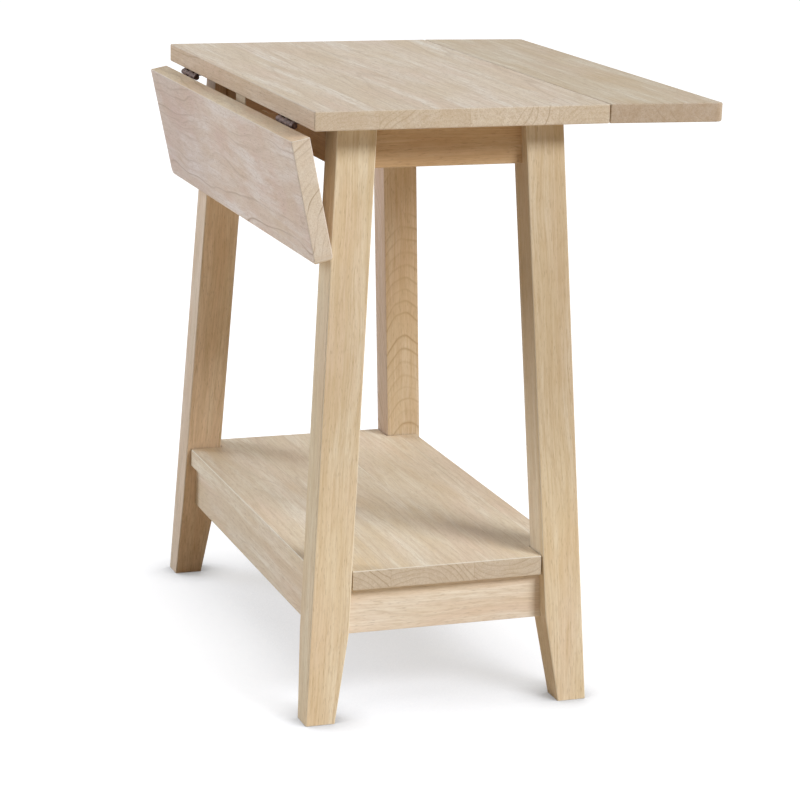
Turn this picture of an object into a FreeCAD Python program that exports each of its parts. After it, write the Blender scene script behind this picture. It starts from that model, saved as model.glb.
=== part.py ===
import FreeCAD, Part
import math
import os

# Drop-leaf end table in pale hardwood, in millimetres.
# The origin is on the floor, midway between the four feet. X runs along the front edge from left to right,
# Y from front to back and Z up. The left leaf hangs from its hinges and the right leaf is raised.

# Fixed top
table_height = 610.0
top_width = 300.0
top_depth = 540.0
board_thickness = 19.0
board_ease = 1.5

# Leaves
leaf_reach = 122.5
leaf_gap = 0.8
raised_leaf_sag_degrees = 0.7
leaf_corner_radius = 10.0
leaf_edge_round = 4.5
leaf_end_ease = 1.2

# Legs, which lean outwards both sideways and lengthways
top_overhang = 34.0
leg_width = 40.0
leg_depth = 36.0
leg_lean_degrees = 3.25
foot_height = 90.0
foot_width = 30.5
foot_depth = 28.0
leg_ease = 1.5

# Upper aprons
apron_height = 44.0
side_apron_height = 47.5
apron_thickness = 19.0
apron_setback = 12.0
apron_ease = 1.0

# Shelf and the rails under it
shelf_height = 153.0
shelf_thickness = 20.0
shelf_side_inset = 4.5
shelf_end_inset = 2.0
shelf_notch_clearance = 1.2
shelf_ease = 1.5
rail_height = 47.5
rail_thickness = 19.0
rail_setback = 12.5
rail_ease = 1.0

# Dowels of the leg joints. The two directions are staggered in height, because they cross inside the leg.
dowel_radius = 3.0
dowel_length = 30.0
dowel_clearance = 0.06
dowel_end_room = 1.0
end_dowel_shares = (0.2, 0.6)
side_dowel_shares = (0.4, 0.8)

# Hinges
hinge_length = 54.0
hinge_end_inset = 62.0
hinge_plate_reach = 26.0
hinge_plate_thickness = 2.0
hinge_plate_corner = 3.0
hinge_pin_drop = 3.7
knuckle_radius = 3.0
knuckle_count = 5
knuckle_gap = 0.4
knuckle_clearance = 0.5
hinge_pin_radius = 1.4
hinge_pin_clearance = 0.06
pin_head_radius = 2.2
pin_head_length = 0.8
hinge_screw_shares = (0.16, 0.5, 0.84)
hinge_screw_reach_share = 0.62

# Screws, with countersunk heads and a cross recess
screw_clearance = 0.06
screw_end_room = 1.0
recess_width_share = 0.28
recess_span_share = 1.1
recess_depth_share = 0.4
screw_tip_share = 0.18
hinge_screw_radius = 1.6
hinge_screw_head_radius = 3.1
hinge_screw_length = 15.0
wood_screw_radius = 2.1
wood_screw_head_radius = 4.2
wood_screw_grip = 12.0
counterbore_radius = 5.0
counterbore_web = 16.0
shelf_screw_shares = (0.22, 0.78)

# Support slides and the channel that they run in
slide_width = 36.0
slide_height = 19.0
slide_tip_inset = 5.0
slide_middle_gap = 6.0
slide_clearance = 0.3
slide_ease = 1.5
slide_grip_radius = 9.0
slide_grip_depth = 4.0
slide_grip_inset = 18.0
fence_width = 16.0
channel_floor_thickness = 10.0
channel_slot_wall = 9.5
channel_screw_share = 0.62
stop_peg_radius = 4.0
stop_peg_inset = 8.0
stop_peg_in_slide = 11.0
stop_peg_slack = 0.5

# Corner blocks of the upper frame
block_arm = 50.0
block_width = 25.0
block_height = 22.0

# Worked out from the sizes above
underside = table_height - board_thickness
lean = math.tan(math.radians(leg_lean_degrees))
shelf_bottom = shelf_height - shelf_thickness
pin_x = top_width / 2 + leaf_gap / 2
pin_z = underside - hinge_pin_drop
leaf_edge_x = top_width / 2 + leaf_gap
hinge_middle_y = top_depth / 2 - hinge_end_inset - hinge_length / 2
slide_tip_x = top_width / 2 - slide_tip_inset
slide_floor = underside - slide_clearance - slide_height
slide_half_way = slide_width / 2 + slide_clearance
channel_half = slide_half_way + fence_width
slide_inner_x = slide_middle_gap / 2
stop_peg_x = slide_inner_x + stop_peg_inset
overrun = board_thickness
hinge_screw_size = (hinge_screw_length, hinge_screw_radius, hinge_screw_head_radius)
# A free leaf hangs with its middle straight below the pin.
leaf_middle_rise, leaf_middle_reach = hinge_pin_drop + board_thickness / 2, (leaf_gap + leaf_reach) / 2
hang_degrees = 90 + math.degrees(math.atan2(leaf_middle_rise, leaf_middle_reach))

hairline = 1e-6
Vector = FreeCAD.Vector
along_x, along_y, up = Vector(1, 0, 0), Vector(0, 1, 0), Vector(0, 0, 1)
sides = {"left": -1, "right": 1}
ends = {"front": -1, "back": 1}


def leg_outer_x(z):
    return top_width / 2 - top_overhang + (underside - z) * lean


def leg_outer_y(z):
    return top_depth / 2 - top_overhang + (underside - z) * lean


def leg_inner_x(z):
    return leg_outer_x(z) - leg_width


def leg_inner_y(z):
    return leg_outer_y(z) - leg_depth


def box(x_span, y_span, z_span):
    (x0, x1), (y0, y1), (z0, z1) = sorted(x_span), sorted(y_span), sorted(z_span)
    return Part.makeBox(x1 - x0, y1 - y0, z1 - z0, Vector(x0, y0, z0))


def prism(points, along):
    return Part.Face(Part.makePolygon(points + points[:1])).extrude(along)


def rod(middle, direction, length, radius):
    return Part.makeCylinder(radius, length, middle - direction * (length / 2), direction)


def middle_of(edge):
    return edge.valueAt((edge.FirstParameter + edge.LastParameter) / 2)


def runs_along(edge, axis):
    first, last = edge.Vertexes[0].Point, edge.Vertexes[-1].Point
    return abs((last - first).dot(axis)) > (last - first).Length - hairline


def eased(solid, radius, edges):
    return solid.makeFillet(radius, edges).Solids[0]


def without(solid, tools):
    return solid.cut(Part.makeCompound(tools)).Solids[0] if tools else solid


def turned(profile):
    points = [Vector(r, 0, z) for r, z in profile]
    return Part.Face(Part.makePolygon(points + points[:1])).revolve(Vector(), up, 360)


def screw(head, length, radius, head_radius):
    """Points straight up, with the flat of its head at the given place."""
    cone = head_radius - radius
    tip = length * screw_tip_share
    profile = [(0, 0), (head_radius, 0), (radius, cone), (radius, length - tip), (0, length)]
    body = turned(profile)
    span, width = head_radius * recess_span_share / 2, head_radius * recess_width_share / 2
    depth = head_radius * recess_depth_share
    arm = box((-span, span), (-width, width), (0, depth))
    return without(body, [arm, arm.rotated(Vector(), up, 90)]).translated(head)


def screw_hole(head, length, radius, head_radius):
    wide, narrow = head_radius + screw_clearance, radius + screw_clearance
    end = length + screw_end_room
    profile = [(0, -overrun), (wide, -overrun), (wide, 0),
               (narrow, head_radius - radius), (narrow, end), (0, end)]
    return turned(profile).translated(head)


# Places of the hidden fixings, each list shared by the screws and by the holes for them

def hinge_screw_places(side, end):
    x = side * (pin_x - hinge_plate_reach * hinge_screw_reach_share)
    start = end * hinge_middle_y - hinge_length / 2
    z = underside - hinge_plate_thickness
    return [Vector(x, start + hinge_length * share, z) for share in hinge_screw_shares]


def leaf_screw_places(end):
    return [Vector(2 * pin_x - p.x, p.y, p.z) for p in hinge_screw_places(1, end)]


def block_corner(side, end):
    x = side * (leg_outer_x(underside) - apron_setback - apron_thickness)
    y = end * (leg_outer_y(underside) - apron_setback - apron_thickness)
    return x, y


def block_screw_place(side, end):
    x, y = block_corner(side, end)
    inwards = (block_arm + block_width) / 4
    return Vector(x - side * inwards, y - end * inwards, underside - block_height)


def channel_screw_places():
    reach = block_corner(1, 1)[0] * channel_screw_share
    bottom = slide_floor - channel_floor_thickness
    return [Vector(side * reach, end * (slide_half_way + fence_width / 2), bottom)
            for side in sides.values() for end in ends.values()]


def rail_screw_places(direction, sign):
    inset = rail_setback + rail_thickness / 2
    z = shelf_bottom - counterbore_web
    if direction is along_x:
        y = sign * (leg_outer_y(shelf_bottom) - inset)
        reach = leg_inner_x(shelf_bottom)
        return [Vector(reach * (2 * share - 1), y, z) for share in shelf_screw_shares]
    x = sign * (leg_outer_x(shelf_bottom) - inset)
    reach = leg_inner_y(shelf_bottom)
    return [Vector(x, reach * (2 * share - 1), z) for share in shelf_screw_shares]


def all_rail_screw_places():
    return [p for direction in (along_x, along_y) for sign in (-1, 1)
            for p in rail_screw_places(direction, sign)]


def dowel_places(side, end, top, height, setback, thickness):
    """Middle and direction of each dowel between one leg and the two members that meet it."""
    places = []
    y_middle = end * (leg_outer_y(top) - setback - thickness / 2)
    x_middle = side * (leg_outer_x(top) - setback - thickness / 2)
    for share in end_dowel_shares:
        z = top - height * share
        places.append((Vector(side * leg_inner_x(z), y_middle, z), along_x))
    for share in side_dowel_shares:
        z = top - height * share
        places.append((Vector(x_middle, end * leg_inner_y(z), z), along_y))
    return places


def apron_dowels(side, end):
    return dowel_places(side, end, underside, apron_height, apron_setback, apron_thickness)


def rail_dowels(side, end):
    return dowel_places(side, end, shelf_bottom, rail_height, rail_setback, rail_thickness)


def dowel_holes(places):
    length = dowel_length + 2 * dowel_end_room
    return [rod(middle, direction, length, dowel_radius + dowel_clearance) for middle, direction in places]


# Top, leaves and shelf

def fixed_top():
    slab = box((-top_width / 2, top_width / 2), (-top_depth / 2, top_depth / 2), (underside, table_height))
    slab = eased(slab, board_ease, slab.Edges)
    holes = [screw_hole(p, *hinge_screw_size)
             for side in sides.values() for end in ends.values() for p in hinge_screw_places(side, end)]
    holes += [screw_hole(block_screw_place(side, end), *block_screw_size())
              for side in sides.values() for end in ends.values()]
    holes += [screw_hole(p, *channel_screw_size()) for p in channel_screw_places()]
    return without(slab, holes)


def level_leaf():
    """The right leaf, drawn level with the top. Its outer edge and its two outer corners are rounded."""
    half = top_depth / 2
    spans = (leaf_edge_x, leaf_edge_x + leaf_reach), (-half, half), (underside, table_height)
    plan = box(*spans)
    outer = [e for e in plan.Edges if runs_along(e, up) and middle_of(e).x > leaf_edge_x + hairline]
    plan = eased(plan, leaf_corner_radius, outer)
    leaf = box(*spans)
    outer = [e for e in leaf.Edges if runs_along(e, along_y) and middle_of(e).x > leaf_edge_x + hairline]
    leaf = eased(leaf, leaf_edge_round, outer).common(plan).Solids[0]
    sharp = [e for e in leaf.Edges if abs(abs(middle_of(e).y) - half) < hairline
             or (runs_along(e, along_y) and middle_of(e).x < leaf_edge_x + hairline)]
    leaf = eased(leaf, leaf_end_ease, sharp)
    return without(leaf, [screw_hole(p, *hinge_screw_size)
                          for end in ends.values() for p in leaf_screw_places(end)])


def shelf():
    x, y = leg_outer_x(shelf_height) - shelf_side_inset, leg_outer_y(shelf_height) - shelf_end_inset
    slab = box((-x, x), (-y, y), (shelf_bottom, shelf_height))
    slab = eased(slab, shelf_ease, [e for e in slab.Edges if not runs_along(e, up)])
    notch_x = leg_inner_x(shelf_height) - shelf_notch_clearance
    notch_y = leg_inner_y(shelf_height) - shelf_notch_clearance
    cuts = [box((side * notch_x, side * (x + overrun)), (end * notch_y, end * (y + overrun)),
                (shelf_bottom - overrun, shelf_height + overrun))
            for side in sides.values() for end in ends.values()]
    cuts += [screw_hole(p, *shelf_screw_size()) for p in all_rail_screw_places()]
    return without(slab, cuts)


# Legs, aprons and rails

def leg(side, end):
    """Leans both ways. From the height of the rails down, the two inner faces taper to the foot."""
    def profile(outer, inner, foot):
        return [(outer(0), 0), (outer(underside), underside), (inner(underside), underside),
                (inner(foot_height), foot_height), (outer(0) - foot, 0)]
    across = [Vector(side * x, 0, z) for x, z in profile(leg_outer_x, leg_inner_x, foot_width)]
    along = [Vector(0, end * y, z) for y, z in profile(leg_outer_y, leg_inner_y, foot_depth)]
    body = prism(across, along_y * end * top_depth).common(prism(along, along_x * side * top_width))
    body = body.Solids[0]
    arrises = [e for e in body.Edges if abs(e.Vertexes[0].Z - e.Vertexes[-1].Z) > hairline]
    body = eased(body, leg_ease, arrises)
    return without(body, dowel_holes(apron_dowels(side, end) + rail_dowels(side, end)))


def end_member(end, top, height, setback, thickness, ease):
    """Runs across the front or the back, between two legs, with its ends cut to their lean."""
    bottom = top - height
    face = end * (leg_outer_y(top) - setback)
    outline = [(leg_inner_x(top), top), (leg_inner_x(bottom), bottom)]
    outline += [(-x, z) for x, z in reversed(outline)]
    body = prism([Vector(x, face, z) for x, z in outline], along_y * -end * thickness)
    lower = [e for e in body.Edges if runs_along(e, along_x) and middle_of(e).z < top - height / 2]
    return eased(body, ease, lower)


def side_member(side, top, height, setback, thickness, ease):
    bottom = top - height
    face = side * (leg_outer_x(top) - setback)
    outline = [(leg_inner_y(top), top), (leg_inner_y(bottom), bottom)]
    outline += [(-y, z) for y, z in reversed(outline)]
    body = prism([Vector(face, y, z) for y, z in outline], along_x * -side * thickness)
    lower = [e for e in body.Edges if runs_along(e, along_y) and middle_of(e).z < top - height / 2]
    return eased(body, ease, lower)


def end_apron(end):
    body = end_member(end, underside, apron_height, apron_setback, apron_thickness, apron_ease)
    return without(body, dowel_holes([d for side in sides.values() for d in apron_dowels(side, end)
                                      if d[1] is along_x]))


def side_apron(side):
    """Has a notch in its top edge that the support slide passes through."""
    body = side_member(side, underside, side_apron_height, apron_setback, apron_thickness, apron_ease)
    notch = box((0, side * top_width), (-slide_half_way, slide_half_way), (slide_floor, table_height))
    holes = dowel_holes([d for end in ends.values() for d in apron_dowels(side, end) if d[1] is along_y])
    return without(body, holes + [notch])


def rail_holes(direction, sign):
    holes = []
    for place in rail_screw_places(direction, sign):
        holes.append(screw_hole(place, *shelf_screw_size()))
        depth = rail_height - counterbore_web
        holes.append(rod(place - up * (depth / 2), up, depth, counterbore_radius))
    return holes


def end_rail(end):
    body = end_member(end, shelf_bottom, rail_height, rail_setback, rail_thickness, rail_ease)
    holes = dowel_holes([d for side in sides.values() for d in rail_dowels(side, end) if d[1] is along_x])
    return without(body, holes + rail_holes(along_x, end))


def side_rail(side):
    body = side_member(side, shelf_bottom, rail_height, rail_setback, rail_thickness, rail_ease)
    holes = dowel_holes([d for end in ends.values() for d in rail_dowels(side, end) if d[1] is along_y])
    return without(body, holes + rail_holes(along_y, side))


def corner_block(side, end):
    x, y = block_corner(side, end)
    plan = [(x - side * block_arm, y), (x - side * block_width, y),
            (x, y - end * block_width), (x, y - end * block_arm)]
    body = prism([Vector(px, py, underside - block_height) for px, py in plan], up * block_height)
    return without(body, [screw_hole(block_screw_place(side, end), *block_screw_size())])


def dowel_set(places):
    return Part.makeCompound([rod(middle, direction, dowel_length, dowel_radius)
                              for middle, direction in places])


# Screws, in groups by what they hold

def block_screw_size():
    return block_height + wood_screw_grip, wood_screw_radius, wood_screw_head_radius


def channel_screw_size():
    length = underside - slide_floor + channel_floor_thickness + wood_screw_grip
    return length, wood_screw_radius, wood_screw_head_radius


def shelf_screw_size():
    return counterbore_web + wood_screw_grip, wood_screw_radius, wood_screw_head_radius


def screw_set(places, size):
    return Part.makeCompound([screw(p, *size) for p in places])


# Hinges, drawn on the right edge with the leaf raised

def hinge_plate(end, outwards, screw_places):
    """The plate on the top has the end knuckles, and the leaf's plate has those between."""
    y0 = end * hinge_middle_y - hinge_length / 2
    height = (underside - hinge_plate_thickness, underside)
    plate = box((pin_x, pin_x + outwards * hinge_plate_reach), (y0, y0 + hinge_length), height)
    far = [e for e in plate.Edges if runs_along(e, up) and abs(middle_of(e).x - pin_x) > hairline]
    plate = eased(plate, hinge_plate_corner, far)
    first = 0 if outwards < 0 else 1
    room = outwards * (knuckle_radius + knuckle_clearance)
    knuckles, clear = [], []
    for index in range(knuckle_count):
        low, high = knuckle_span(y0, index)
        if index % 2 == first:
            middle = Vector(pin_x, (low + high) / 2, pin_z)
            knuckles.append(rod(middle, along_y, high - low, knuckle_radius))
        else:
            clear.append(box((pin_x, pin_x + room), (low - knuckle_gap, high + knuckle_gap), height))
    plate = without(plate, clear).fuse(knuckles).removeSplitter().Solids[0]
    middle = Vector(pin_x, end * hinge_middle_y, pin_z)
    bore = rod(middle, along_y, hinge_length, hinge_pin_radius + hinge_pin_clearance)
    return without(plate, [bore] + [screw_hole(p, *hinge_screw_size) for p in screw_places])


def knuckle_span(y0, index):
    """The barrel's two ends are flush with the plate, and a gap parts neighbouring knuckles."""
    pitch = hinge_length / knuckle_count
    low = y0 + index * pitch + (knuckle_gap / 2 if index > 0 else 0)
    high = y0 + (index + 1) * pitch - (knuckle_gap / 2 if index < knuckle_count - 1 else 0)
    return low, high


def hinge_pin(end):
    middle = Vector(pin_x, end * hinge_middle_y, pin_z)
    shank = rod(middle, along_y, hinge_length, hinge_pin_radius)
    offset = along_y * ((hinge_length + pin_head_length) / 2)
    heads = [rod(middle + offset * way, along_y, pin_head_length, pin_head_radius) for way in (-1, 1)]
    return shank.fuse(heads).removeSplitter().Solids[0]


# Support slides, drawn on the right, and their channel under the top

def support_slide():
    half = slide_width / 2
    bar = box((slide_inner_x, slide_tip_x), (-half, half), (slide_floor, slide_floor + slide_height))
    bar = eased(bar, slide_ease, bar.Edges)
    grip = Vector(slide_tip_x - slide_grip_inset, 0, slide_floor + slide_grip_depth - slide_grip_radius)
    hole = Vector(stop_peg_x, 0, slide_floor)
    hole_depth = stop_peg_in_slide + dowel_end_room
    return without(bar, [rod(grip, along_y, slide_width + 2 * overrun, slide_grip_radius),
                         rod(hole, up, 2 * hole_depth, stop_peg_radius + dowel_clearance)])


def stop_peg():
    """A dowel that hangs below the slide into the channel floor's slot and stops the slide at both ends."""
    bottom, top = slide_floor - channel_floor_thickness, slide_floor + stop_peg_in_slide
    return rod(Vector(stop_peg_x, 0, (bottom + top) / 2), up, top - bottom, stop_peg_radius)


def channel_length():
    reach = block_corner(1, 1)[0]
    return (-reach, reach)


def channel_floor():
    bottom = slide_floor - channel_floor_thickness
    board = box(channel_length(), (-channel_half, channel_half), (bottom, slide_floor))
    half = stop_peg_radius + stop_peg_slack
    cuts = [screw_hole(p, *channel_screw_size()) for p in channel_screw_places()]
    slot_end = channel_length()[1] - channel_slot_wall - half
    for side in sides.values():
        near, far = side * stop_peg_x, side * slot_end
        cuts.append(box((near, far), (-half, half), (bottom, slide_floor)))
        cuts += [rod(Vector(x, 0, slide_floor), up, 2 * channel_floor_thickness, half) for x in (near, far)]
    return without(board, cuts)


def channel_fence(end):
    board = box(channel_length(), (end * slide_half_way, end * channel_half), (slide_floor, underside))
    places = [p for p in channel_screw_places() if p.y * end > 0]
    return without(board, [screw_hole(p, *channel_screw_size()) for p in places])


# The right leaf is drawn level, and its support lets it sag a little.
# Turned about the table's middle, a piece drawn on the right serves the left.

def sagged(shape):
    return shape.rotated(Vector(pin_x, 0, pin_z), along_y, raised_leaf_sag_degrees)


def to_left(shape):
    return shape.rotated(Vector(), up, 180)


def hung(shape):
    """A piece of the level right leaf, moved to the left leaf and let down about its pin."""
    return to_left(shape).rotated(Vector(-pin_x, 0, pin_z), along_y, -hang_degrees)


corners = [(end_name, side_name) for end_name in ends for side_name in sides]
nodes = {"fixed_top": fixed_top(), "shelf": shelf()}
for end_name, end in ends.items():
    nodes[end_name + "_apron"] = end_apron(end)
    nodes[end_name + "_rail"] = end_rail(end)
    nodes[end_name + "_channel_fence"] = channel_fence(end)
for side_name, side in sides.items():
    nodes[side_name + "_apron"] = side_apron(side)
    nodes[side_name + "_rail"] = side_rail(side)
for end_name, side_name in corners:
    name = end_name + "_" + side_name
    nodes[name + "_leg"] = leg(sides[side_name], ends[end_name])
    nodes[name + "_corner_block"] = corner_block(sides[side_name], ends[end_name])
nodes["apron_dowels"] = dowel_set([d for e, s in corners for d in apron_dowels(sides[s], ends[e])])
nodes["rail_dowels"] = dowel_set([d for e, s in corners for d in rail_dowels(sides[s], ends[e])])

leaf_drawn_level = level_leaf()
nodes["right_leaf"] = sagged(leaf_drawn_level)
nodes["left_leaf"] = hung(leaf_drawn_level)
for end_name, end in ends.items():
    top_plate = hinge_plate(end, -1, hinge_screw_places(1, end))
    leaf_plate = hinge_plate(end, 1, leaf_screw_places(end))
    pin = hinge_pin(end)
    other_end = "front" if end_name == "back" else "back"
    nodes["right_" + end_name + "_hinge_top_plate"] = top_plate
    nodes["right_" + end_name + "_hinge_leaf_plate"] = sagged(leaf_plate)
    nodes["right_" + end_name + "_hinge_pin"] = pin
    nodes["left_" + other_end + "_hinge_top_plate"] = to_left(top_plate)
    nodes["left_" + other_end + "_hinge_leaf_plate"] = hung(leaf_plate)
    nodes["left_" + other_end + "_hinge_pin"] = to_left(pin)
nodes["top_hinge_screws"] = screw_set(
    [p for e, s in corners for p in hinge_screw_places(sides[s], ends[e])], hinge_screw_size)
leaf_screws = screw_set([p for end in ends.values() for p in leaf_screw_places(end)], hinge_screw_size)
nodes["right_leaf_hinge_screws"] = sagged(leaf_screws)
nodes["left_leaf_hinge_screws"] = hung(leaf_screws)

nodes["right_support_slide"] = support_slide()
nodes["right_slide_stop_peg"] = stop_peg()
nodes["left_support_slide"] = to_left(nodes["right_support_slide"])
nodes["left_slide_stop_peg"] = to_left(nodes["right_slide_stop_peg"])
nodes["channel_floor"] = channel_floor()
nodes["channel_screws"] = screw_set(channel_screw_places(), channel_screw_size())
nodes["top_fixing_screws"] = screw_set(
    [block_screw_place(sides[s], ends[e]) for e, s in corners], block_screw_size())
nodes["shelf_screws"] = screw_set(all_rail_screw_places(), shelf_screw_size())

os.makedirs("parts", exist_ok=True)
for name, shape in nodes.items():
    shape.exportStep("parts/" + name + ".step")
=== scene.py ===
import math
import bpy
from mathutils import Matrix, Vector

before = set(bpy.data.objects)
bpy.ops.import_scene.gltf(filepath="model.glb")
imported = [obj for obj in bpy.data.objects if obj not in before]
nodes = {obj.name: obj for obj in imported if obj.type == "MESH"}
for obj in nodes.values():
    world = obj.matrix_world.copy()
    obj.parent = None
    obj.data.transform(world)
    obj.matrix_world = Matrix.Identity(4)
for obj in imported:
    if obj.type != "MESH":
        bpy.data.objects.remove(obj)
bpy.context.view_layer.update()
scene = bpy.context.scene
scene.view_settings.view_transform = "Standard"
mmPerMetre = 1000.0
print("frame loaded:", len(nodes), "pieces")


def linear(hexColour):
    parts = [int(hexColour[i:i + 2], 16) / 255 for i in (1, 3, 5)]
    return tuple(c / 12.92 if c <= 0.04045 else ((c + 0.055) / 1.055) ** 2.4 for c in parts) + (1.0,)


# Settings are the node's own properties, or its sockets by name or number, with colours as hex values.
# An output given as a value is linked to that socket, and so is a node, by its first output in use.
def addNode(tree, kind, settings):
    node = tree.nodes.new(kind)
    for key, value in settings.items():
        if isinstance(value, bpy.types.Node):
            value = next(output for output in value.outputs if output.enabled)
        if isinstance(value, bpy.types.NodeSocket):
            tree.links.new(value, node.inputs[key])
        elif isinstance(key, int) or not hasattr(node, key):
            node.inputs[key].default_value = linear(value) if isinstance(value, str) else value
        else:
            setattr(node, key, value)
    return node


def newMaterial(name):
    material = bpy.data.materials.new(name)
    material.use_nodes = True
    material.node_tree.nodes.clear()
    return material, material.node_tree


def dress(material, names):
    for name in names:
        for slot in nodes[name].material_slots:
            slot.material = material


# Camera: the fitted place and turn of the photograph's own camera
camera = {
    "place": (-901.71, -2661.33, 965.40),  # mm
    "yaw": -19.413, "pitch": -14.095, "roll": 1.339,  # degrees
    "focalPixels": 2700.108, "frameWidth": 800,
    "sensor": 36.0,  # mm
    "farthest": 50.0,  # m
}


def addCamera():
    yaw, pitch, roll = (math.radians(camera[k]) for k in ("yaw", "pitch", "roll"))
    ahead = Vector((-math.sin(yaw) * math.cos(pitch), math.cos(yaw) * math.cos(pitch), math.sin(pitch)))
    right = ahead.cross(Vector((0, 0, 1))).normalized()
    above = right.cross(ahead)
    turnedRight = right * math.cos(roll) + above * math.sin(roll)
    turnedAbove = above * math.cos(roll) - right * math.sin(roll)
    data = bpy.data.cameras.new("photoCamera")
    data.sensor_fit = "HORIZONTAL"
    data.sensor_width = camera["sensor"]
    data.lens = camera["sensor"] * camera["focalPixels"] / camera["frameWidth"]
    data.clip_end = camera["farthest"]
    eye = bpy.data.objects.new("photoCamera", data)
    turn = Matrix((turnedRight, turnedAbove, -ahead)).transposed().to_4x4()
    eye.matrix_world = Matrix.Translation(Vector(camera["place"]) / mmPerMetre) @ turn
    scene.collection.objects.link(eye)
    scene.camera = eye


addCamera()
print("camera placed")


# Bare rubberwood, planed and sanded, with no finish: matt and pale, with milky flames, long soft fibre
# streaks, faint growth rings that are arches on a face and arcs on an end, and short pore dashes that are
# dots on an end. Pores are really about 0.2 mm wide, and are drawn three to four times as wide to show.
rubberwood = {
    # width and length in mm, detail, and the noise levels at which a layer starts and is full
    "layers": {
        "blush": (62.0, 230.0, 2.0, 0.42, 0.68),
        "honey": (46.0, 150.0, 3.0, 0.50, 0.74),
        "flame": (21.0, 240.0, 4.0, 0.47, 0.66),
        "band": (7.5, 330.0, 2.0, 0.46, 0.74),
        "fleck": (2.4, 20.0, 2.0, 0.48, 0.74),
        "fibre": (1.3, 90.0, 3.0, 0.44, 0.74),
        "pore": (0.75, 8.0, 1.0, 0.60, 0.74),
    },
    "laidOrder": ("blush", "honey", "flame", "band", "ring", "fleck", "fibre", "pore", "glue"),
    "layerRoughness": 0.6,
    "broadLayers": ("blush", "honey", "flame"), "broadEndShare": 0.3,  # these fade where the grain ends
    "staveShift": 5000.0,  # mm along the grain between the figures of two staves
    "wobbleWidth": 52.0, "wobbleLength": 210.0, "wobbleDetail": 2.0, "wobbleRoughness": 0.45,
    # part of a year and how dark it is
    "yearShape": ((0.0, 0.25), (0.1, 0.0), (0.7, 0.12), (0.93, 1.0), (1.0, 0.25)),
    "yearScale": 0.9, "yearDetail": 1.0, "yearLevels": (0.38, 0.7), "yearShares": (0.05, 1.0),
    "ringPatch": (33.0, 120.0, 33.0), "patchDetail": 2.0, "patchLevels": (0.38, 0.62), "leastRingShare": 0.1,
    "seamFull": 0.25, "seamGone": 0.7, "seamShare": 0.35,  # mm from the joint, mm, share
    "sandedHighlightLevels": (0.96, 0.78),
    "roughness": 0.62, "refraction": 1.45, "specular": 0.3, "reliefStrength": 0.2, "reliefDepth": 0.0003,
}
panelWood = {
    "pale": "#E9DBC7", "mid": "#DECDB5", "ring": "#AE9376", "fibre": "#C6AE90", "pore": "#977D62",
    "fleck": "#CDB79B", "blush": "#E2C9B8", "honey": "#D6BC92", "flame": "#F4EDE1", "band": "#D2BC9F",
    "glue": "#C1A98B",
}
frameWood = {
    "pale": "#E7D6B7", "mid": "#DDC9A5", "ring": "#AE8E64", "fibre": "#C9AE86", "pore": "#927552",
    "fleck": "#D0B78F", "blush": "#E1C4A7", "honey": "#D3B483", "flame": "#F2E7CF", "band": "#D3BA90",
    "glue": "#C1A57D",
}
plain = {
    "ringWidth": 5.5, "taper": 0.035, "heartDepth": 50.0, "heartSpread": 40.0, "heartUp": 0.5,
    "middleDepth": 0.0, "wobble": 13.0, "bend": 0.7, "stretch": 1.0,
    "ringShare": 0.4, "endRingShare": 0.3, "blushShare": 0.55, "honeyShare": 0.4, "flameShare": 0.6,
    "bandShare": 0.4, "fleckShare": 0.55, "fibreShare": 0.45, "poreShare": 0.32, "sandedHighlightShare": 0.9,
    "staveWidth": 2000.0, "staveStart": -1000.0, "farFrom": 320.0, "farTo": 120.0,  # mm
    "tone": "#FFFFFF", "endTone": "#EEEAE4",
}


# Where a point lies in the board, in mm, and how much its surface faces each of the board's three ways
def boardPlace(tree, wood):
    along = Vector(wood["along"]).normalized()
    across = Vector(wood["across"]).normalized()
    turn = Matrix((across, along, across.cross(along))).to_euler()
    whole = addNode(tree, "ShaderNodeTexCoord", {})
    place = addNode(tree, "ShaderNodeMapping", {"Rotation": turn, 0: whole.outputs["Object"]})
    place = addNode(tree, "ShaderNodeVectorMath", {"operation": "SCALE", "Scale": mmPerMetre, 0: place})
    place = addNode(tree, "ShaderNodeSeparateXYZ", {0: place})
    ways = addNode(tree, "ShaderNodeMapping", {
        "vector_type": "NORMAL", "Rotation": turn, 0: whole.outputs["Normal"]})
    ways = addNode(tree, "ShaderNodeVectorMath", {"operation": "ABSOLUTE", 0: ways})
    ways = addNode(tree, "ShaderNodeSeparateXYZ", {0: ways})
    return place.outputs, ways.outputs


# How many staves a point lies from the board's edge, and the random numbers of its own stave
def staveOf(tree, wood, width):
    fromEdge = addNode(tree, "ShaderNodeMath", {"operation": "SUBTRACT", 0: width, 1: wood["staveStart"]})
    inStaves = addNode(tree, "ShaderNodeMath", {"operation": "DIVIDE", 0: fromEdge, 1: wood["staveWidth"]})
    stave = addNode(tree, "ShaderNodeMath", {"operation": "FLOOR", 0: inStaves})
    drawn = addNode(tree, "ShaderNodeMath", {"operation": "ADD", 0: stave, 1: wood["seed"]})
    dice = addNode(tree, "ShaderNodeTexWhiteNoise", {"noise_dimensions": "1D", "W": drawn})
    dice = addNode(tree, "ShaderNodeSeparateColor", {0: dice.outputs["Color"]})
    return inStaves, dice.outputs


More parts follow.
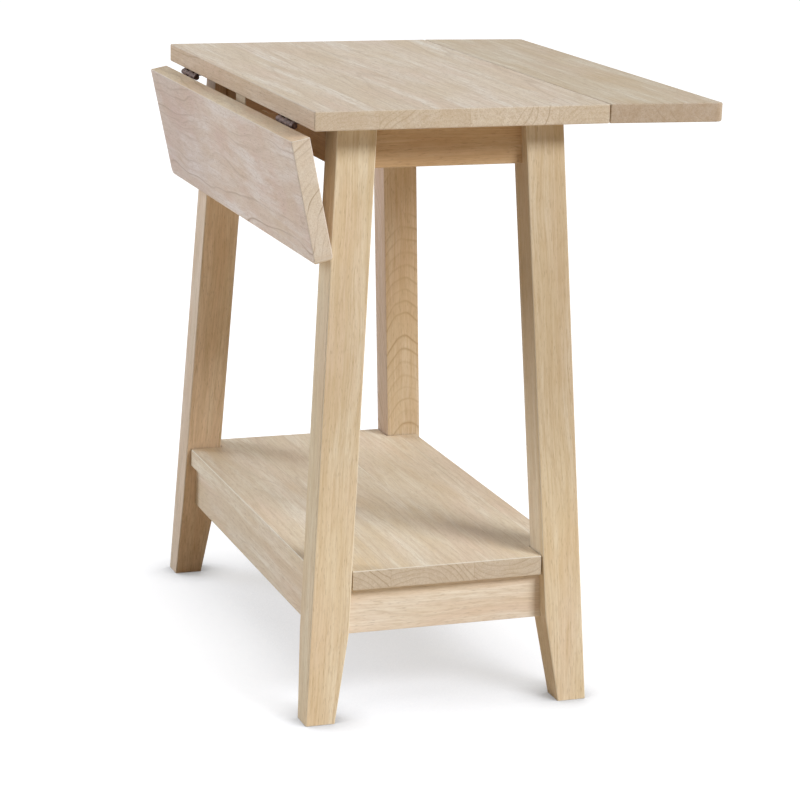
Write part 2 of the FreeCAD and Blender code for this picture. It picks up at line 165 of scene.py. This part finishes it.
# Growth rings by the distance from the heart of the tree, which lies off to one side of each stave
def ringShareOf(tree, wood, length, depth, inStaves, dice, wave, straight, ends):
    spread, deep = wood["heartSpread"], wood["heartDepth"]
    heartSide = addNode(tree, "ShaderNodeMapRange", {0: dice[0], 3: -spread, 4: spread})
    flipped = addNode(tree, "ShaderNodeMath", {"operation": "GREATER_THAN", 0: dice[2], 1: wood["heartUp"]})
    heartDepth = addNode(tree, "ShaderNodeMapRange", {0: flipped, 3: deep, 4: -deep})
    inside = addNode(tree, "ShaderNodeMath", {"operation": "FRACT", 0: inStaves})
    inside = addNode(tree, "ShaderNodeMath", {"operation": "SUBTRACT", 0: inside, 1: 0.5})
    inside = addNode(tree, "ShaderNodeMath", {"operation": "MULTIPLY", 0: inside, 1: wood["staveWidth"]})
    inside = addNode(tree, "ShaderNodeMath", {"operation": "SUBTRACT", 0: inside, 1: heartSide})
    below = addNode(tree, "ShaderNodeMath", {"operation": "SUBTRACT", 0: depth, 1: wood["middleDepth"]})
    below = addNode(tree, "ShaderNodeMath", {"operation": "SUBTRACT", 0: below, 1: heartDepth})
    radius = addNode(tree, "ShaderNodeCombineXYZ", {0: inside, 1: below})
    radius = addNode(tree, "ShaderNodeVectorMath", {"operation": "LENGTH", 0: radius})
    radius = addNode(tree, "ShaderNodeMath", {"operation": "ADD", 0: radius, 1: wave})
    radius = addNode(tree, "ShaderNodeMath", {
        "operation": "MULTIPLY_ADD", 0: length, 1: wood["taper"], 2: radius})
    years = addNode(tree, "ShaderNodeMath", {"operation": "DIVIDE", 0: radius, 1: wood["ringWidth"]})

    partOfYear = addNode(tree, "ShaderNodeMath", {"operation": "FRACT", 0: years})
    ring = addNode(tree, "ShaderNodeValToRGB", {0: partOfYear})
    ring.color_ramp.interpolation = "EASE"
    ramp = ring.color_ramp.elements
    for part, darkness in wood["yearShape"][1:-1]:
        ramp.new(part)
    for step, (part, darkness) in zip(ramp, wood["yearShape"]):
        step.color = (darkness, darkness, darkness, 1)

    # some years are darker than others
    darkYears = addNode(tree, "ShaderNodeTexNoise", {
        "noise_dimensions": "1D", "Scale": wood["yearScale"], "Detail": wood["yearDetail"], "W": years})
    start, full = wood["yearLevels"]
    least, most = wood["yearShares"]
    darkYears = addNode(tree, "ShaderNodeMapRange", {0: darkYears, 1: start, 2: full, 3: least, 4: most})
    ring = addNode(tree, "ShaderNodeMath", {"operation": "MULTIPLY", 0: ring, 1: darkYears})

    # rings come and go in patches along the grain, and show more where it ends
    patches = addNode(tree, "ShaderNodeVectorMath", {
        "operation": "DIVIDE", 0: straight, 1: wood["ringPatch"]})
    patches = addNode(tree, "ShaderNodeTexNoise", {
        "Scale": 1.0, "Detail": wood["patchDetail"], "Vector": patches})
    start, full = wood["patchLevels"]
    patches = addNode(tree, "ShaderNodeMapRange", {
        0: patches, 1: start, 2: full, 3: wood["leastRingShare"], 4: wood["ringShare"]})
    patches = addNode(tree, "ShaderNodeMath", {
        "operation": "MULTIPLY_ADD", 0: ends, 1: wood["endRingShare"], 2: patches})
    return addNode(tree, "ShaderNodeMath", {"operation": "MULTIPLY", 0: ring, 1: patches})


# The piece's tone, duller where the grain ends, with painted light and shade that may change it along the
# piece and on its narrow sides
def toneAndShadeOf(tree, wood, length, sideways, ends):
    # painted light and shade along the piece: the tone turns to the far tone towards one end
    farther = addNode(tree, "ShaderNodeMapRange", {
        "interpolation_type": "SMOOTHSTEP", 0: length, 1: wood["farFrom"], 2: wood["farTo"]})
    tone = addNode(tree, "ShaderNodeMix", {
        "data_type": "RGBA", 0: farther, 6: wood["tone"], 7: wood["farShade"]})
    # painted light and shade: the narrow side faces get their own tone for how the light falls on them
    if "sideShade" in wood:
        sides = addNode(tree, "ShaderNodeMath", {"operation": "MULTIPLY", 0: sideways, 1: sideways})
        tone = addNode(tree, "ShaderNodeMix", {"data_type": "RGBA", 0: sides, 6: tone, 7: wood["sideShade"]})
    return addNode(tree, "ShaderNodeMix", {"data_type": "RGBA", 0: ends, 6: tone, 7: wood["endTone"]})


def rawRubberwood(name, board):
    wood = {**rubberwood, "farShade": board["tone"], **board}
    material, tree = newMaterial("bareRubberwood" + name)
    (width, length, depth), ways = boardPlace(tree, wood)
    inStaves, dice = staveOf(tree, wood, width)
    # 1 where the grain ends, 0 along it
    ends = addNode(tree, "ShaderNodeMath", {"operation": "MULTIPLY", 0: ways[1], 1: ways[1]})

    # the rings follow waves from side to side, and the fibres follow these in part
    shifted = addNode(tree, "ShaderNodeMath", {
        "operation": "MULTIPLY_ADD", 0: dice[1], 1: wood["staveShift"], 2: length})
    straight = addNode(tree, "ShaderNodeCombineXYZ", {0: width, 1: shifted, 2: depth})
    size = (wood["wobbleWidth"], wood["wobbleLength"], wood["wobbleWidth"])
    wave = addNode(tree, "ShaderNodeVectorMath", {"operation": "DIVIDE", 0: straight, 1: size})
    wave = addNode(tree, "ShaderNodeTexNoise", {
        "Scale": 1.0, "Detail": wood["wobbleDetail"], "Roughness": wood["wobbleRoughness"], "Vector": wave})
    wave = addNode(tree, "ShaderNodeMapRange", {0: wave, 3: -wood["wobble"], 4: wood["wobble"]})
    bent = addNode(tree, "ShaderNodeMath", {"operation": "MULTIPLY_ADD", 0: wave, 1: wood["bend"], 2: width})
    grain = addNode(tree, "ShaderNodeCombineXYZ", {0: bent, 1: shifted, 2: depth})
    shares = {"ring": ringShareOf(tree, wood, length, depth, inStaves, dice, wave, straight, ends)}

    # each other layer of the figure is one noise stretched along the grain
    alongShare = addNode(tree, "ShaderNodeMapRange", {0: ends, 3: 1.0, 4: wood["broadEndShare"]})
    for layer, (broad, long, detail, start, full) in wood["layers"].items():
        size = (broad, long * wood["stretch"], broad)
        spots = addNode(tree, "ShaderNodeVectorMath", {"operation": "DIVIDE", 0: grain, 1: size})
        spots = addNode(tree, "ShaderNodeTexNoise", {
            "Scale": 1.0, "Detail": detail, "Roughness": wood["layerRoughness"], "Vector": spots})
        share = addNode(tree, "ShaderNodeMapRange", {0: spots, 1: start, 2: full, 4: wood[layer + "Share"]})
        if layer in wood["broadLayers"]:
            share = addNode(tree, "ShaderNodeMath", {"operation": "MULTIPLY", 0: share, 1: alongShare})
        shares[layer] = share

    # a thin glue line between two staves
    toJoint = addNode(tree, "ShaderNodeMath", {"operation": "PINGPONG", 0: inStaves, 1: 0.5})
    full, gone = (wood[k] / wood["staveWidth"] for k in ("seamFull", "seamGone"))
    shares["glue"] = addNode(tree, "ShaderNodeMapRange", {
        0: toJoint, 1: full, 2: gone, 3: wood["seamShare"], 4: 0.0})

    # the layers are laid one over another on the stave's own shade
    colour = addNode(tree, "ShaderNodeMix", {
        "data_type": "RGBA", 0: dice[0], 6: wood["pale"], 7: wood["mid"]})
    for layer in wood["laidOrder"]:
        colour = addNode(tree, "ShaderNodeMix", {
            "data_type": "RGBA", 0: shares[layer], 6: colour, 7: wood[layer]})

    # edges that the sandpaper rounded are paler, partly sanding wear and partly a painted highlight: there
    # the surface faces none of the board's three ways
    facing = addNode(tree, "ShaderNodeMath", {"operation": "MAXIMUM", 0: ways[0], 1: ways[1]})
    facing = addNode(tree, "ShaderNodeMath", {"operation": "MAXIMUM", 0: facing, 1: ways[2]})
    start, full = wood["sandedHighlightLevels"]
    # painted highlight along the rounded edges, on top of their sanded paleness
    sandedHighlight = addNode(tree, "ShaderNodeMapRange", {0: facing, 1: start, 2: full, 4: wood["sandedHighlightShare"]})
    colour = addNode(tree, "ShaderNodeMix", {"data_type": "RGBA", 0: sandedHighlight, 6: colour, 7: wood["flame"]})
    tone = toneAndShadeOf(tree, wood, length, ways[0], ends)
    colour = addNode(tree, "ShaderNodeMix", {
        "data_type": "RGBA", "blend_type": "MULTIPLY", 0: 1.0, 6: colour, 7: tone})

    relief = addNode(tree, "ShaderNodeMath", {"operation": "ADD", 0: shares["fibre"], 1: shares["pore"]})
    relief = addNode(tree, "ShaderNodeBump", {
        "invert": True, "Strength": wood["reliefStrength"], "Distance": wood["reliefDepth"],
        "Height": relief})
    surface = addNode(tree, "ShaderNodeBsdfPrincipled", {
        "Base Color": colour, "Roughness": wood["roughness"], "IOR": wood["refraction"],
        "Specular IOR Level": wood["specular"], "Normal": relief})
    addNode(tree, "ShaderNodeOutputMaterial", {0: surface})
    return material


# Fixed top, leaves and shelf: boards glued up from staves, grain from front to back
hangAngle = math.radians(102.085)
boards = {
    "fixed_top": {
        "across": (1, 0, 0), "staveWidth": 91.2, "staveStart": -85.5, "middleDepth": 600.5, "seed": 3.0,
        # its side tone is painted light and shade on the top's narrow edges
        "tone": "#F8F6F2", "endTone": "#E7E5E0", "sideShade": "#F1E7DB",
        "flameShare": 0.8, "bandShare": 0.5, "fleckShare": 0.65, "fibreShare": 0.62, "poreShare": 0.45,
        "ringShare": 0.55, "ringPatch": (40.0, 420.0, 40.0), "wobbleLength": 420.0, "sandedHighlightShare": 0.3,
    },
    "right_leaf": {
        "across": (1, 0, 0), "staveWidth": 400.0, "staveStart": 100.0, "middleDepth": 600.5, "seed": 11.0,
        "tone": "#E8E4D9", "endTone": "#CCC5BE",
        "honeyShare": 0.7, "flameShare": 0.8, "bandShare": 0.6, "fibreShare": 0.58, "poreShare": 0.4,
        "endRingShare": 0.0, "sandedHighlightShare": 0.1,
    },
    "left_leaf": {
        "across": (math.cos(hangAngle), 0, math.sin(hangAngle)),
        "staveWidth": 400.0, "staveStart": -900.0, "seed": 17.0,
        # its side tone is painted light and shade on the leaf's narrow edges
        "tone": "#F6F3F5", "endTone": "#EEEDEB", "sideShade": "#F9EDD5",
        # its far tone is painted shade, darker towards the back of the leaf
        "farShade": "#E6E1E5", "farFrom": -60.0, "farTo": 230.0,
        "ringWidth": 6.5, "wobbleWidth": 60.0, "wobbleLength": 200.0, "wobble": 22.0, "stretch": 0.5,
        "ringShare": 0.85, "endRingShare": 0.1, "blushShare": 0.8, "flameShare": 1.0, "bandShare": 0.2,
        "fleckShare": 0.42, "poreShare": 0.4,
    },
    "shelf": {
        "across": (1, 0, 0), "staveWidth": 88.0, "staveStart": -60.0, "middleDepth": 143.0, "seed": 23.0,
        "tone": "#FFFEF5", "endTone": "#E8E6E1", "honeyShare": 0.5, "endRingShare": 0.8,
    },
}
for name, board in boards.items():
    dress(rawRubberwood(name, {**plain, **panelWood, "along": (0, 1, 0), **board}), [name])

# Legs: one length of wood each, the grain following the lean, and one cut near the heart that shows arches
lean = math.tan(math.radians(3.25))
straightGrain = {"ringShare": 0.2, "bandShare": 0.5, "fibreShare": 0.62}
legs = {
    # each far tone is painted light and shade along the leg, darker under the table top on the front legs,
    # and each side tone is painted light and shade on the side faces
    "front_left_leg": {"seed": 27.0, "tone": "#F1F0EE", "farShade": "#FFFDFB", "sideShade": "#FDFDFB"},
    "front_right_leg": {"seed": 29.0, "tone": "#E2DDD8", "farShade": "#FFFFFF"},
    "back_left_leg": {
        "seed": 33.0, "pale": "#F2DDC2", "mid": "#EAD2B0",
        "tone": "#FFF9F3", "farShade": "#F9F0E6", "sideShade": "#EEEDF0",
    },
    "back_right_leg": {
        "seed": 35.0, "ringShare": 1.0, "bandShare": 0.4, "ringPatch": (60.0, 200.0, 60.0), "ringWidth": 5.0,
        "taper": 0.33, "heartDepth": 14.0, "heartSpread": 6.0, "heartUp": 0.0, "wobble": 9.0,
        "staveStart": -866.0, "middleDepth": -255.6,
        "tone": "#F4ECE5", "farShade": "#F0EBE8", "sideShade": "#E1D7D9",
    },
}
for name, leg in legs.items():
    back = 1 if name.startswith("back") else -1
    right = 1 if name.endswith("right_leg") else -1
    leaning = {"along": (-right * lean, -back * lean, 1), "across": (1, 0, right * lean)}
    dress(rawRubberwood(name, {**plain, **frameWood, **straightGrain, **leaning, **leg}), [name])

# Aprons and rails: short lengths with the grain along each
# the aprons' darker tone is partly painted shade under the overhang of the top
apron = {**frameWood, "tone": "#DFCEBB", "fibreShare": 0.6, "poreShare": 0.4}
rail = {**panelWood, "tone": "#FFFEF8", "fibreShare": 0.4, "bandShare": 0.3}
shortPieces = {
    "front_apron": {**apron, "along": (1, 0, 0), "seed": 52.0},
    "back_apron": {**apron, "along": (1, 0, 0), "seed": 51.0},
    # the left apron is darker still: painted shade behind the hanging leaf
    "left_apron": {**apron, "along": (0, 1, 0), "seed": 63.0, "tone": "#D4B78F"},
    "right_apron": {**apron, "along": (0, 1, 0), "seed": 64.0},
    "front_rail": {**rail, "along": (1, 0, 0), "seed": 51.0},
    "back_rail": {**rail, "along": (1, 0, 0), "seed": 50.0},
    "left_rail": {**rail, "along": (0, 1, 0), "seed": 62.0},
    "right_rail": {**rail, "along": (0, 1, 0), "seed": 63.0},
}
for name, piece in shortPieces.items():
    dress(rawRubberwood(name, {**plain, "across": (0, 0, 1), **piece}), [name])

# Slides, and the blocks, fences, dowels and pegs out of sight
sideGrain = {**plain, **frameWood, "along": (1, 0, 0), "across": (0, 1, 0)}
slides = {"seed": 61.0, "tone": "#F7E5DD"}
dress(rawRubberwood("Slides", {**sideGrain, **slides}), ["left_support_slide", "right_support_slide"])
blocks = {"seed": 67.0}
blockEndings = ("_corner_block", "_channel_fence", "_dowels", "_stop_peg", "channel_floor")
dress(rawRubberwood("Blocks", {**sideGrain, **blocks}), [n for n in nodes if n.endswith(blockEndings)])
print("wood done")

# Hinges: steel with a dark oil-rubbed bronze plating, dull brown and rubbed a little lighter in patches
bronze = {
    "dark": "#3F2A20", "rubbed": "#70503F", "darkRoughness": 0.72, "rubbedRoughness": 0.52,
    "patchSize": 3.0,  # mm
    "patchDetail": 4.0, "patchLevels": (0.42, 0.7), "metallic": 0.4,
}


def bronzedSteel():
    material, tree = newMaterial("bronzedSteel")
    whole = addNode(tree, "ShaderNodeTexCoord", {})
    share = addNode(tree, "ShaderNodeTexNoise", {
        "Scale": mmPerMetre / bronze["patchSize"], "Detail": bronze["patchDetail"],
        "Vector": whole.outputs["Object"]})
    start, full = bronze["patchLevels"]
    share = addNode(tree, "ShaderNodeMapRange", {0: share, 1: start, 2: full})
    colour = addNode(tree, "ShaderNodeMix", {
        "data_type": "RGBA", 0: share, 6: bronze["dark"], 7: bronze["rubbed"]})
    roughness = addNode(tree, "ShaderNodeMapRange", {
        0: share, 3: bronze["darkRoughness"], 4: bronze["rubbedRoughness"]})
    surface = addNode(tree, "ShaderNodeBsdfPrincipled", {
        "Base Color": colour, "Metallic": bronze["metallic"], "Roughness": roughness})
    addNode(tree, "ShaderNodeOutputMaterial", {0: surface})
    return material


dress(bronzedSteel(), [n for n in nodes if "_hinge" in n])

# Screws under the top and the shelf: bright zinc plating on steel, a grey shine with small cloudy grains
zinc = {
    "bright": "#B9BCBC", "cloudy": "#9A9FA0", "roughness": 0.34,
    "grainSize": 1.5,  # mm
}


def zincPlate():
    material, tree = newMaterial("zincPlatedSteel")
    whole = addNode(tree, "ShaderNodeTexCoord", {})
    grains = addNode(tree, "ShaderNodeTexVoronoi", {
        "Scale": mmPerMetre / zinc["grainSize"], "Vector": whole.outputs["Object"]})
    share = addNode(tree, "ShaderNodeSeparateColor", {0: grains.outputs["Color"]})
    colour = addNode(tree, "ShaderNodeMix", {
        "data_type": "RGBA", 0: share, 6: zinc["bright"], 7: zinc["cloudy"]})
    surface = addNode(tree, "ShaderNodeBsdfPrincipled", {
        "Base Color": colour, "Metallic": 1.0, "Roughness": zinc["roughness"]})
    addNode(tree, "ShaderNodeOutputMaterial", {0: surface})
    return material


dress(zincPlate(), ["channel_screws", "top_fixing_screws", "shelf_screws"])
print("metal done")

# Studio: a white floor that keeps the table's lamp shadows and a painted soft shadow under it, and large
# soft lamps; lengths in m
studio = {
    "floorSize": 14.0, "floorDrop": 0.0003, "floorColour": "#EEDDC7", "seenColour": "#8E8E90",
    "floorLift": 0.97,
    # painted shadows on the floor's glow, by ambient occlusion
    "paintedShades": [(0.26, 0.35, 0.62), (0.045, 0.45, 0.33)],  # reach, openness where full, level left there
    "shadeGone": 0.92, "shadeSamples": 4,
    "skyStrength": 0.1, "skyColour": "#FFFFFF",
    "lamps": [  # name, place, width and height, watts, tint
        ("keyLamp", (3.0, -4.85, 4.45), (3.4, 2.0), 450.0, "#F6F9FF"),
        ("leftLamp", (-4.0, 3.6, 2.4), (3.0, 3.0), 224.0, "#E5EEFF"),
        ("backLamp", (0.0, 5.5, 3.3), (3.0, 3.0), 40.0, "#FFFFFF"),
    ],
    "aim": (0.05, 0.0, 0.32),
}


# 1 for a ray that shows the surface to the eye, and 0 for one that only carries light
def seenByEye(tree):
    rays = addNode(tree, "ShaderNodeLightPath", {}).outputs
    seen = rays["Is Camera Ray"]
    for ray in ("Is Glossy Ray", "Is Transmission Ray"):
        seen = addNode(tree, "ShaderNodeMath", {"operation": "MAXIMUM", 0: seen, 1: rays[ray]})
    return seen


# The eye sees a white glowing floor with a painted shadow, held back by ambient occlusion where the table
# stands close over it, most of all at the feet
def addFloor():
    bpy.ops.object.select_all(action="DESELECT")
    bpy.ops.mesh.primitive_plane_add(size=studio["floorSize"], location=(0, 0, -studio["floorDrop"]))
    floor = bpy.context.object
    floor.name = "studioFloor"
    bpy.ops.object.transform_apply(location=True, rotation=True, scale=True)
    material, tree = newMaterial("whiteFloor")
    seen = seenByEye(tree)
    lift = addNode(tree, "ShaderNodeMath", {"operation": "MULTIPLY", 0: seen, 1: studio["floorLift"]})
    # painted shadow: the glow is dimmed by ambient occlusion near the table
    for reach, fullAt, level in studio["paintedShades"]:
        shade = addNode(tree, "ShaderNodeAmbientOcclusion", {
            "samples": studio["shadeSamples"], "Distance": reach})
        shade = addNode(tree, "ShaderNodeMapRange", {
            "interpolation_type": "SMOOTHSTEP", 0: shade.outputs["AO"], 1: fullAt, 2: studio["shadeGone"],
            3: level, 4: 1.0})
        lift = addNode(tree, "ShaderNodeMath", {"operation": "MULTIPLY", 0: lift, 1: shade})
    glow = addNode(tree, "ShaderNodeEmission", {"Strength": lift})
    colour = addNode(tree, "ShaderNodeMix", {
        "data_type": "RGBA", 0: seen, 6: studio["floorColour"], 7: studio["seenColour"]})
    matt = addNode(tree, "ShaderNodeBsdfDiffuse", {"Color": colour})
    both = addNode(tree, "ShaderNodeAddShader", {0: glow, 1: matt})
    addNode(tree, "ShaderNodeOutputMaterial", {0: both})
    floor.data.materials.append(material)


def addSky():
    world = bpy.data.worlds.new("studioSky")
    world.use_nodes = True
    tree = world.node_tree
    tree.nodes.clear()
    strength = addNode(tree, "ShaderNodeMapRange", {0: seenByEye(tree), 3: studio["skyStrength"], 4: 1.0})
    sky = addNode(tree, "ShaderNodeBackground", {"Color": studio["skyColour"], "Strength": strength})
    addNode(tree, "ShaderNodeOutputWorld", {0: sky})
    scene.world = world


def addLamps():
    for name, place, size, watts, tint in studio["lamps"]:
        data = bpy.data.lights.new(name, "AREA")
        data.shape = "ELLIPSE"
        data.size, data.size_y = size
        data.energy = watts
        data.color = linear(tint)[:3]
        lamp = bpy.data.objects.new(name, data)
        lamp.location = place
        lamp.rotation_euler = (Vector(place) - Vector(studio["aim"])).to_track_quat("Z", "Y").to_euler()
        scene.collection.objects.link(lamp)


addFloor()
addSky()
addLamps()
print("studio done")
